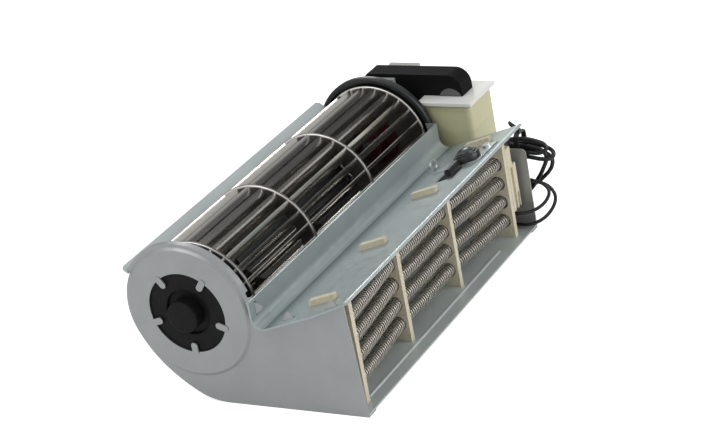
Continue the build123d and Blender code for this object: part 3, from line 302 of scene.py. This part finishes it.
evenMarks = (300.0, 300.0, 300.0)
finish = {
    "galvanised": galvanisedSheet("galvanisedSheet", (0.42, 0.48, 0.48)),
    "scroll": galvanisedSheet("galvanisedScroll", (0.60, 0.66, 0.66), metallic=0.5),
    "endPlate": galvanisedSheet("galvanisedEndPlate", (0.395, 0.410, 0.412), roughness=0.40),
    "hem": galvanisedSheet("galvanisedHem", (0.62, 0.68, 0.68), roughness=0.34),
    "zinc": brushedMetal("zincPlatedSteel", (0.60, 0.60, 0.58), 0.34),
    "impeller": smoothMetal("impellerSheet", (0.60, 0.58, 0.54), 0.24, patch=0.06),
    "ringFace": smoothMetal("ringSheet", (0.16, 0.15, 0.14), 0.50),
    "ringRim": smoothMetal("polishedRim", (0.80, 0.79, 0.77), 0.38, evenMarks),
    "strap": brushedMetal("springStrap", (0.74, 0.79, 0.80), 0.32, (60.0, 900.0, 60.0)),
    "hub": mouldedPlastic("hubCoupling", (0.030, 0.003, 0.004), 0.45, 700.0, 0.00005, 0.2, 0.4),
    "darkCap": smoothMetal("cutoutDome", (0.11, 0.12, 0.125), 0.24, evenMarks),
    # Painted light: a less metallic, greener copy of the zinc, so that the near bracket looks lit
    "bracketPaintedLight": brushedMetal("bracketSheetPaintedLight", (0.50, 0.53, 0.50), 0.45, (500.0, 60.0, 500.0), 0.4),
    "rubber": mouldedPlastic("mountRubber", (0.007, 0.007, 0.0075), 0.55, 700.0, 0.00008, 0.25, 0.18),
    "blackPlastic": mouldedPlastic("blackMoulding", (0.016, 0.017, 0.018), 0.36, 800.0, 0.00006, 0.2, 0.45),
    "core": laminatedCore("varnishedCore", (0.010, 0.010, 0.011), 0.62, pitch=0.0005, specular=0.05),
    "limb": laminatedCore("bareLimb", (0.12, 0.12, 0.12), 0.4, pitch=0.0005),
    "bobbin": mouldedPlastic("bobbinMoulding", (0.74, 0.74, 0.71), 0.4, 500.0, 0.00004, 0.06),
    "winding": tapedWinding("windingTape", (0.56, 0.55, 0.36), lap=0.006),
    "copper": brushedMetal("barecopper", (0.70, 0.36, 0.22), 0.34),
    "ceramic": ceramicBody("pressedCeramic", (0.66, 0.62, 0.50)),
    "coilWire": brushedMetal("heatingWire", (0.52, 0.485, 0.44), 0.30, (500.0, 500.0, 500.0), 0.85),
    "brass": brushedMetal("brassParts", (0.60, 0.47, 0.24), 0.32),
    "lead": mouldedPlastic("leadInsulation", (0.014, 0.0145, 0.016), 0.34, 1200.0, 0.00003, 0.25),
    "rotorSteel": brushedMetal("turnedSteel", (0.40, 0.40, 0.40), 0.30, (900.0, 120.0, 900.0)),
}
print("materials made,", len(finish))


def finishObject(piece, key, smoothAngle):
    """Gives a mesh piece its material and smooth shading with sharp edges kept."""
    piece.data.materials.append(finish[key])
    piece.data.shade_smooth()
    piece.data.set_sharp_from_angle(angle=radians(smoothAngle))


nodeFinish = {
    "scroll_sheet": "scroll",
    "top_plate": "galvanised",
    "cutout_strap": "galvanised",
    "bearing_end_plate": "endPlate",
    "motor_end_plate": "endPlate",
    "rubber_bearing_mount": "rubber",
    "bearing_bush": "brass",
    "stub_shaft": "rotorSteel",
    "bearing_end_disc": "ringFace",
    "middle_ring_near": "ringFace",
    "middle_ring_far": "ringFace",
    "motor_end_disc": "ringFace",
    "impeller_blades": "impeller",
    "impeller_hub": "hub",
    "grub_screw": "zinc",
    "motor_carrier": "blackPlastic",
    "carrier_screws": "zinc",
    "stator_core": "core",
    "coil_limb": "limb",
    "bobbin": "bobbin",
    "winding": "winding",
    "shading_rings": "copper",
    "near_bracket": "zinc",
    "far_bracket": "zinc",
    "near_motor_bearing": "brass",
    "far_motor_bearing": "brass",
    "core_bolts": "zinc",
    "core_nuts": "zinc",
    "motor_screws": "zinc",
    "rotor": "rotorSteel",
    "rotor_shaft": "rotorSteel",
    "heater_support_1": "ceramic",
    "heater_support_2": "ceramic",
    "heater_support_3": "ceramic",
    "heater_support_4": "ceramic",
    "heating_coils": "coilWire",
    "coil_links": "coilWire",
    "terminal_insulator": "ceramic",
    "lead_terminals": "brass",
    "earth_tag": "brass",
    "earth_screw": "zinc",
    "thermal_cutout": "blackPlastic",
    "cutout_cap": "zinc",
    "strap_screw": "strap",
    "thermal_link": "lead",
    "lead_connector": "blackPlastic",
    "connector_screw": "zinc",
    "clamp_screws": "brass",
    "upper_lead": "lead",
    "motor_lead": "lead",
    "hank_strand_near": "lead",
    "hank_strand_far": "lead",
    "heater_lead": "lead",
    "earth_lead": "lead",
    "lead_hank": "lead",
    "hank_tie": "blackPlastic",
}
for nodeName, key in nodeFinish.items():
    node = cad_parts[nodeName]
    node.data.materials.clear()
    node.data.materials.append(finish[key])


# Leads: each a smooth line through its route's points, in mm from the fan axis
leads = {
    "heaterLead": {
        "diameter": 1.8,
        "replaces": ["heater_lead"],
        "route": [
            (74.6, 184.4, -35.55),
            (79.6, 184.4, -35.55),
            (85.8, 187.6, -35.2),
            (91.0, 191.6, -32.4),
            (93.0, 195.4, -27.8),
            (90.2, 196.2, -24.0),
            (85.2, 196.1, -22.2),
            (79.9, 196.0, -21.2),
            (73.0, 196.0, -21.2),
        ],
    },
    "earthLead": {
        "diameter": 1.8,
        "replaces": ["earth_lead"],
        "route": [
            (68.0, 188.0, -43.4),
            (75.0, 188.0, -43.4),
            (82.8, 186.4, -42.8),
            (89.8, 189.4, -40.6),
            (93.6, 194.6, -36.6),
            (95.0, 197.6, -31.2),
            (92.2, 198.2, -26.4),
            (87.2, 198.2, -23.8),
            (81.2, 198.2, -23.4),
            (73.0, 198.2, -23.4),
        ],
    },
    "upperLead": {
        "diameter": 2.2,
        "replaces": ["upper_lead", "lead_hank", "hank_strand_near"],
        "route": [
            (75.5, 186.2, -0.4),
            (75.5, 188.8, -0.4),
            (74.8, 192.4, 0.4),
            (73.6, 196.2, 0.2),
            (76.4, 199.2, -0.4),
            (81.6, 200.4, -0.8),
            (87.2, 200.4, -2.0),
            (91.4, 200.4, -3.4),
            (92.6, 199.6, -6.2),
            (88.4, 198.4, -8.0),
            (83.0, 198.0, -7.4),
            (76.6, 198.0, -7.0),
            (69.6, 198.2, -7.3),
            (62.8, 198.8, -6.8),
            (62.4, 200.2, -3.4),
            (69.0, 200.5, -3.9),
            (77.4, 200.5, -4.8),
            (84.6, 200.5, -5.4),
            (89.8, 200.5, -7.0),
            (91.6, 200.4, -10.2),
            (90.8, 200.4, -12.8),
            (89.4, 200.4, -15.6),
            (87.2, 200.4, -19.6),
            (84.5, 200.4, -23.5),
            (80.6, 200.4, -28.5),
            (77.2, 200.4, -31.4),
            (73.0, 200.4, -31.4),
        ],
    },
    "motorLead": {
        "diameter": 2.2,
        "replaces": ["motor_lead", "hank_strand_far"],
        "route": [
            (53.2, 200.6, -4.2),
            (57.4, 200.6, -4.2),
            (62.0, 201.4, -3.9),
            (67.0, 202.8, -3.6),
            (73.0, 203.4, -3.9),
            (80.0, 203.4, -4.4),
            (86.4, 203.4, -5.2),
            (92.0, 203.2, -6.6),
            (95.4, 201.8, -8.6),
            (94.6, 199.6, -11.2),
            (89.2, 198.2, -11.0),
            (83.0, 198.0, -9.8),
            (76.6, 198.0, -9.3),
            (69.0, 198.4, -9.4),
            (62.6, 199.8, -9.8),
            (62.6, 202.4, -8.2),
            (68.4, 203.4, -7.4),
            (76.6, 203.4, -7.9),
            (84.6, 203.4, -8.6),
            (90.2, 203.4, -9.6),
            (93.2, 203.4, -12.6),
            (92.4, 203.4, -16.8),
            (90.0, 203.4, -20.2),
            (86.9, 203.4, -23.2),
            (82.7, 203.4, -26.6),
            (78.6, 203.4, -28.6),
            (73.0, 203.4, -28.6),
        ],
    },
}


leadLine = {"order": 3, "steps": 10, "sides": 3}


def leadCurve(name, route, diameter):
    """Open NURBS line of order three through its control points, with a round section."""
    points = toRow(route)
    curve = bpy.data.curves.new(name, "CURVE")
    curve.dimensions = "3D"
    spline = curve.splines.new("NURBS")
    spline.points.add(len(points) - 1)
    spline.points.foreach_set("co", np.hstack([points, np.ones((len(points), 1))]).ravel())
    spline.order_u = leadLine["order"]
    spline.use_endpoint_u = True
    spline.resolution_u = leadLine["steps"]
    curve.bevel_depth = diameter * mm / 2
    curve.bevel_resolution = leadLine["sides"]
    curve.use_fill_caps = True
    piece = bpy.data.objects.new(name, curve)
    bpy.context.scene.collection.objects.link(piece)
    return piece


def lineLength(piece):
    """Length of the curve's own line: the sum of steps between its points, without the round section."""
    bevel = piece.data.bevel_depth
    piece.data.bevel_depth = 0
    piece.data.use_fill_caps = False
    bpy.context.view_layer.update()
    line = bpy.data.meshes.new_from_object(piece.evaluated_get(bpy.context.evaluated_depsgraph_get()))
    points = np.empty(len(line.vertices) * 3)
    line.vertices.foreach_get("co", points)
    bpy.data.meshes.remove(line)
    piece.data.bevel_depth = bevel
    piece.data.use_fill_caps = True
    return float(np.linalg.norm(np.diff(points.reshape(-1, 3), axis=0), axis=1).sum())


for name, lead in leads.items():
    piece = leadCurve(name, lead["route"], lead["diameter"])
    piece.data.materials.append(finish["lead"])
    length = lineLength(piece)
    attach(piece, "root")
    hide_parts(*lead["replaces"])
    print(name, "is", round(length * 1000, 1), "mm long")


# Surfaces from grids
def gridMesh(name, points, closedU=False, closedV=False, caps=False):
    """Mesh from a grid of points, rows along u and columns along v, with caps at both u ends if asked."""
    rows, columns = points.shape[:2]
    index = np.arange(rows * columns).reshape(rows, columns)
    first = index if closedU else index[:-1]
    second = np.roll(index, -1, axis=0) if closedU else index[1:]
    if closedV:
        right = np.roll(first, -1, axis=1), np.roll(second, -1, axis=1)
        left = first, second
    else:
        right = first[:, 1:], second[:, 1:]
        left = first[:, :-1], second[:, :-1]
    faces = np.stack([left[0], left[1], right[1], right[0]], axis=-1).reshape(-1, 4).tolist()
    if caps:
        faces.append(index[0].tolist())
        faces.append(index[-1][::-1].tolist())
    mesh = bpy.data.meshes.new(name)
    mesh.from_pydata(points.reshape(-1, 3).tolist(), [], faces)
    mesh.update()
    return mesh


sameSpot = 1e-7  # points nearer than this are one, in metres


def outward(mesh):
    """Merges doubles and turns every face outwards."""
    work = bmesh.new()
    work.from_mesh(mesh)
    bmesh.ops.remove_doubles(work, verts=work.verts, dist=sameSpot)
    bmesh.ops.recalc_face_normals(work, faces=work.faces)
    work.to_mesh(mesh)
    work.free()
    return mesh


def addPiece(name, mesh, key, body="root", replaced=(), smoothAngle=40.0):
    """Puts a mesh into the scene as a piece on its body."""
    piece = bpy.data.objects.new(name, mesh)
    bpy.context.scene.collection.objects.link(piece)
    finishObject(piece, key, smoothAngle)
    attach(piece, body)
    if replaced:
        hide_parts(*replaced)


def joinMeshes(name, meshes):
    """One mesh from several."""
    work = bmesh.new()
    for mesh in meshes:
        work.from_mesh(mesh)
    joined = bpy.data.meshes.new(name)
    work.to_mesh(joined)
    work.free()
    for mesh in meshes:
        bpy.data.meshes.remove(mesh)
    return joined


# Heating coils: close-wound wire round the line that each coil follows
coil = {
    "radius": 3.3,
    "wire": 0.42,
    "pitch": 1.75,
    "stepsPerTurn": 14,
    "sides": 5,
    "endX": 74.3,
    "middleX": 69.0,
    "ends": (8.6, 181.2),
    "supports": (11.0, 67.5, 122.5, 177.5),
    "rows": (-4.5, -14.85, -25.2, -35.55),
    "ease": 8,
    "sag": 0.35,
    "bay": 55.5,
    "waves": ((0.012, 0.9, 2.1), (0.008, 2.3, 1.0)),
}


def coilCentreX(y):
    """Place of the coil's line along X: straight between the supports, eased at each."""
    knots = (coil["ends"][0], *coil["supports"], coil["ends"][1])
    places = (coil["endX"], coil["endX"], coil["middleX"], coil["middleX"], coil["endX"], coil["endX"])
    ease = np.linspace(-coil["ease"], coil["ease"], 2 * coil["ease"] + 1)
    return np.mean([np.interp(y + shift, knots, places) for shift in ease], axis=0)


def coilMesh(z, number):
    """Tube along a helix: angle grows with y by one turn per pitch, radius is constant about the coil's line.

    The line sags between supports as a squared sine, and waves of (share, per mm, phase) make turns uneven.
    """
    start, end = coil["ends"]
    turns = (end - start) / coil["pitch"]
    t = np.linspace(0, 1, int(turns * coil["stepsPerTurn"]))
    angle = 2 * np.pi * turns * t
    y = start + coil["wire"] + (end - start - 2 * coil["wire"]) * t
    sag = coil["sag"] * np.abs(np.sin(np.pi * (y - coil["supports"][0]) / coil["bay"])) ** 2
    reach = coil["radius"] - coil["wire"]
    uneven = 1 + sum(share * np.sin(y * rate + number * phase) for share, rate, phase in coil["waves"])
    radial = np.stack([np.cos(angle), np.zeros_like(angle), np.sin(angle)], axis=1)
    centre = np.stack([coilCentreX(y), y, z - sag], axis=1) + radial * (reach * uneven)[:, None]
    around = np.linspace(0, 2 * np.pi, coil["sides"], endpoint=False)
    along = np.array([0.0, 1.0, 0.0])
    outwards = radial[:, None, :] * np.cos(around)[None, :, None]
    section = (outwards + along[None, None, :] * np.sin(around)[None, :, None]) * coil["wire"]
    points = toRow((centre[:, None, :] + section).reshape(-1, 3)).reshape(len(t), coil["sides"], 3)
    return gridMesh("coil", points, closedV=True, caps=True)


coilMeshes = [coilMesh(z, number) for number, z in enumerate(coil["rows"])]
addPiece(
    "heatingCoilWire",
    outward(joinMeshes("heatingCoilWire", coilMeshes)),
    "coilWire",
    replaced=("heating_coils",),
    smoothAngle=80.0,
)
print("heating coils wound")


# Turned pieces: rolled rims of the wheel's discs, and the round thermal cut-out
def turnedMesh(name, profile, centre, axis, side, steps):
    """Surface of revolution: each profile point (radius, height) goes round the axis through the centre."""
    axis, side = np.array(axis, dtype=float), np.array(side, dtype=float)
    other = np.cross(axis, side)
    angle = np.linspace(0, 2 * np.pi, steps, endpoint=False)
    circle = np.cos(angle)[:, None] * side + np.sin(angle)[:, None] * other
    profile = np.array(profile, dtype=float)
    points = np.array(centre) + profile[None, :, :1] * circle[:, None, :] + profile[None, :, 1:] * axis
    grid = toRow(points.reshape(-1, 3)).reshape(points.shape)
    return gridMesh(name, grid, closedU=True)


wheelRims = {
    "radius": 30.0,
    "roll": 0.75,
    "places": (12.5, 72.0, 131.5, 191.0),
    "sheet": 0.8,
    "sides": 12,
    "steps": 144,
}


def rimMesh(y):
    """Rolled edge: a circle about a point one roll inside the disc's radius, turned round the fan axis."""
    roll = wheelRims["roll"]
    angle = np.linspace(0, 2 * np.pi, wheelRims["sides"] + 1)
    profile = np.stack([wheelRims["radius"] - roll + roll * np.cos(angle), roll * np.sin(angle)], axis=1)
    centre = (0.0, y + wheelRims["sheet"] / 2, 0.0)
    return turnedMesh("rim", profile, centre, (0.0, 1.0, 0.0), (1.0, 0.0, 0.0), wheelRims["steps"])


rims = [rimMesh(y) for y in wheelRims["places"]]
rimPiece = outward(joinMeshes("rolledRims", rims))
addPiece("rolledRims", rimPiece, "ringRim", body="wheel", smoothAngle=60)

# Top plate, from its fold: its rise over its reach gives its slope
deck = {"rise": 15.9, "reach": 47.9, "fold": (36.6, 0.0, -4.7)}
deckSlope = float(np.arctan2(deck["rise"], deck["reach"]))
deckAlong = np.array([np.cos(deckSlope), 0.0, np.sin(deckSlope)])
deckNormal = np.array([-np.sin(deckSlope), 0.0, np.cos(deckSlope)])


def onDeck(along, y):
    """Point on the top plate: so far up its slope from the fold, at y."""
    return np.array(deck["fold"]) + along * deckAlong + np.array([0.0, y, 0.0])


# Thermal cut-out: shoulder pairs are (in from the radius, down from the top), in mm;
# dome pairs are shares of the cap's radius and height
cutout = {
    "along": 35.6,
    "y": 157.2,
    "radius": 6.8,
    "height": 4.8,
    "seat": 0.8,
    "chamfer": 0.4,
    "shoulder": ((0.0, 1.6), (0.3, 1.1), (1.1, 0.9), (1.3, 0.3), (1.8, 0.0)),
    "capRadius": 4.4,
    "capHeight": 1.5,
    "capBelow": 0.3,
    "capAbove": 0.4,
    "dome": ((0.88, 0.35), (0.68, 0.66), (0.42, 0.89), (0.16, 0.99), (0.0, 1.0)),
    "steps": 64,
}
radius, top = cutout["radius"], cutout["height"]
bodyProfile = [
    (0.0, cutout["seat"]),
    (radius - cutout["chamfer"], cutout["seat"]),
    (radius, cutout["seat"] + cutout["chamfer"]),
    *[(radius - inward, top - drop) for inward, drop in cutout["shoulder"]],
    (0.0, top),
]
capTop = top + cutout["capAbove"]
capProfile = [
    (cutout["capRadius"], top - cutout["capBelow"]),
    (cutout["capRadius"], capTop),
    *[(cutout["capRadius"] * across, capTop + cutout["capHeight"] * up) for across, up in cutout["dome"]],
]
cutoutCentre = onDeck(cutout["along"], cutout["y"])
for name, profile, key, slotName, replaced in (
    ("thermalCutoutBody", bodyProfile, "blackPlastic", "black_plastic", "thermal_cutout"),
    ("thermalCutoutCap", capProfile, "darkCap", "zinc_plated", "cutout_cap"),
):
    turned = turnedMesh(name, profile, cutoutCentre, deckNormal, (0, 1, 0), cutout["steps"])
    addPiece(name, outward(turned), key, replaced=(replaced,))
print("rims and cut-out turned")

# Hem folded over the top plate's front edge: a flat oval carried along the plate
hem = {"start": 1.4, "end": 191.6, "along": 50.4, "width": 2.2, "rise": 0.75, "sides": 24}
hemTurn = np.linspace(0, 2 * np.pi, hem["sides"], endpoint=False)
hemAcross = np.cos(hemTurn)[:, None] * hem["width"] / 2 * deckAlong
hemSection = hemAcross + np.sin(hemTurn)[:, None] * hem["rise"] * deckNormal
hemMiddle = hem["along"] - hem["width"] / 2
hemPoints = np.array([onDeck(hemMiddle, y) + hemSection for y in (hem["start"], hem["end"])])
hemGrid = toRow(hemPoints.reshape(-1, 3)).reshape(hemPoints.shape)
hemMesh = outward(gridMesh("frontHem", hemGrid, closedV=True, caps=True))
addPiece("frontHem", hemMesh, "hem")
print("front hem folded")


# Softened copies of the solids whose edges catch the light
softening = {"merge": 2e-6, "flat": 0.4, "segments": 2, "angle": 25.0}


def softened(nodeName, pieceName, key, width):
    """Merged copy of a solid with flat faces joined and its edges rounded over a width in mm."""
    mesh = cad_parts[nodeName].data.copy()
    mesh.name = pieceName
    mesh.materials.clear()
    work = bmesh.new()
    work.from_mesh(mesh)
    bmesh.ops.remove_doubles(work, verts=work.verts, dist=softening["merge"])
    bmesh.ops.dissolve_limit(
        work,
        angle_limit=radians(softening["flat"]),
        use_dissolve_boundaries=False,
        verts=work.verts,
        edges=work.edges,
    )
    work.to_mesh(mesh)
    work.free()
    piece = bpy.data.objects.new(pieceName, mesh)
    bpy.context.scene.collection.objects.link(piece)
    finishObject(piece, key, softening["angle"])
    bevel = piece.modifiers.new("edges", "BEVEL")
    bevel.width = width * mm
    bevel.segments = softening["segments"]
    bevel.limit_method = "ANGLE"
    bevel.angle_limit = radians(softening["angle"])
    bevel.use_clamp_overlap = True
    bevel.harden_normals = True
    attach(piece, "root")
    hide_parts(nodeName)


softEdges = {
    "heater_support_1": ("coilSupportNear", "ceramic", "ceramic", 0.3),
    "heater_support_2": ("coilSupportSecond", "ceramic", "ceramic", 0.3),
    "heater_support_3": ("coilSupportThird", "ceramic", "ceramic", 0.3),
    "heater_support_4": ("coilSupportFar", "ceramic", "ceramic", 0.3),
    "terminal_insulator": ("terminalCeramic", "ceramic", "ceramic", 0.3),
    "lead_connector": ("leadBlock", "blackPlastic", "black_plastic", 0.5),
    "bobbin": ("coilBobbin", "bobbin", "bobbin_plastic", 0.35),
    # The near bracket takes the painted-light copy of the zinc; the far bracket keeps the plain zinc
    "near_bracket": ("nearBearingBracket", "bracketPaintedLight", "zinc_plated", 0.4),
    "far_bracket": ("farBearingBracket", "zinc", "zinc_plated", 0.4),
    "stator_core": ("laminatedStator", "core", "core_lacquer", 0.25),
    "cutout_strap": ("cutoutSpring", "strap", "galvanised_steel", 0.15),
}
for nodeName, (pieceName, key, slotName, width) in softEdges.items():
    softened(nodeName, pieceName, key, width)
print("edges softened on", len(softEdges), "pieces")


# Light and ground
stage = {
    "floorSize": 6.0,
    "floorLines": 9,
    "floorDrop": 0.00005,
    "floorColour": (0.88, 0.88, 0.88),
    "floorRoughness": 0.9,
    "floorGlow": 0.62,
    "skyColour": (1.0, 1.0, 1.0),
    "skyStrength": 0.62,
    "shadeAxis": (0.58, 0.74, 0.34),
    "shadeColour": (0.05, 0.053, 0.06),
    "shadeReach": (0.86, 0.95),
    "lowShadeAxis": (-0.70, 0.71, 0.02),
    "lowShadeColour": (0.30, 0.31, 0.31),
    "lowShadeReach": (0.86, 0.97),
    "lampTarget": (0, 0, 0.03),
}

lamps = {
    "backLamp": {"place": (-0.78, 1.24, 0.68), "power": 2.6, "size": 0.36},
    "frontLamp": {"place": (1.15, 0.30, 0.66), "power": 9.0, "size": 0.9},
    "topLamp": {"place": (-0.45, -0.75, 1.10), "power": 4.5, "size": 0.8},
}


def cameraMix(tree, others, seen, output):
    """Shader that the camera sees as one thing and every other ray as another."""
    path = addNode(tree, "ShaderNodeLightPath")
    mix = addNode(tree, "ShaderNodeMixShader")
    tree.links.new(path.outputs["Is Camera Ray"], mix.inputs[0])
    tree.links.new(others, mix.inputs[1])
    tree.links.new(seen, mix.inputs[2])
    tree.links.new(mix.outputs["Shader"], output.inputs["Surface"])


def stageFloor():
    """Wide flat square just under the part; shows as plain white to the camera apart from its shadow."""
    half = stage["floorSize"] / 2
    line = np.linspace(-half, half, stage["floorLines"])
    x, y = np.meshgrid(line, line, indexing="ij")
    points = np.stack([x, y, np.full_like(x, -stage["floorDrop"])], axis=-1)
    floor = bpy.data.objects.new("ground", outward(gridMesh("ground", points)))
    bpy.context.scene.collection.objects.link(floor)
    material, tree, shader = newMaterial("paleGround", stage["floorColour"], 0.0, stage["floorRoughness"])
    glow = addNode(tree, "ShaderNodeEmission", values={"Color": (1, 1, 1, 1), "Strength": stage["floorGlow"]})
    total = addNode(tree, "ShaderNodeAddShader")
    tree.links.new(shader.outputs["BSDF"], total.inputs[0])
    tree.links.new(glow.outputs["Emission"], total.inputs[1])
    cameraMix(tree, shader.outputs["BSDF"], total.outputs["Shader"], tree.nodes["Material Output"])
    floor.data.materials.append(material)


stageFloor()

world = bpy.data.worlds.new("softSky")
bpy.context.scene.world = world
world.use_nodes = True
skyTree = world.node_tree
sky = skyTree.nodes["Background"]
skyWhere = addNode(skyTree, "ShaderNodeTexCoord")


def shadePatch(axis, colour, reach):
    """Colour that goes from the sky's to a darker one as a direction nears the axis."""
    dot = vectorMath(skyTree, "DOT_PRODUCT", skyWhere.outputs["Generated"], Vector(axis).normalized())
    return ramp(skyTree, dot.outputs["Value"], [(reach[0], stage["skyColour"]), (reach[1], colour)])


highShade = shadePatch(stage["shadeAxis"], stage["shadeColour"], stage["shadeReach"])
lowShade = shadePatch(stage["lowShadeAxis"], stage["lowShadeColour"], stage["lowShadeReach"])
skyTree.links.new(product(skyTree, highShade, lowShade), sky.inputs["Color"])
sky.inputs["Strength"].default_value = stage["skyStrength"]
whiteSky = addNode(skyTree, "ShaderNodeBackground", values={"Color": (1, 1, 1, 1), "Strength": 1.0})
skyOutput = skyTree.nodes["World Output"]
cameraMix(skyTree, sky.outputs["Background"], whiteSky.outputs["Background"], skyOutput)


def softLamp(name, place, power, size):
    """Square area lamp that faces the part."""
    lampData = bpy.data.lights.new(name, "AREA")
    lampData.energy = power
    lampData.size = size
    lamp = bpy.data.objects.new(name, lampData)
    lamp.location = place
    facing = Vector(stage["lampTarget"]) - Vector(place)
    lamp.rotation_euler = facing.to_track_quat("-Z", "Y").to_euler()
    bpy.context.scene.collection.objects.link(lamp)


for lampName, lamp in lamps.items():
    softLamp(lampName, lamp["place"], lamp["power"], lamp["size"])
print("light set")
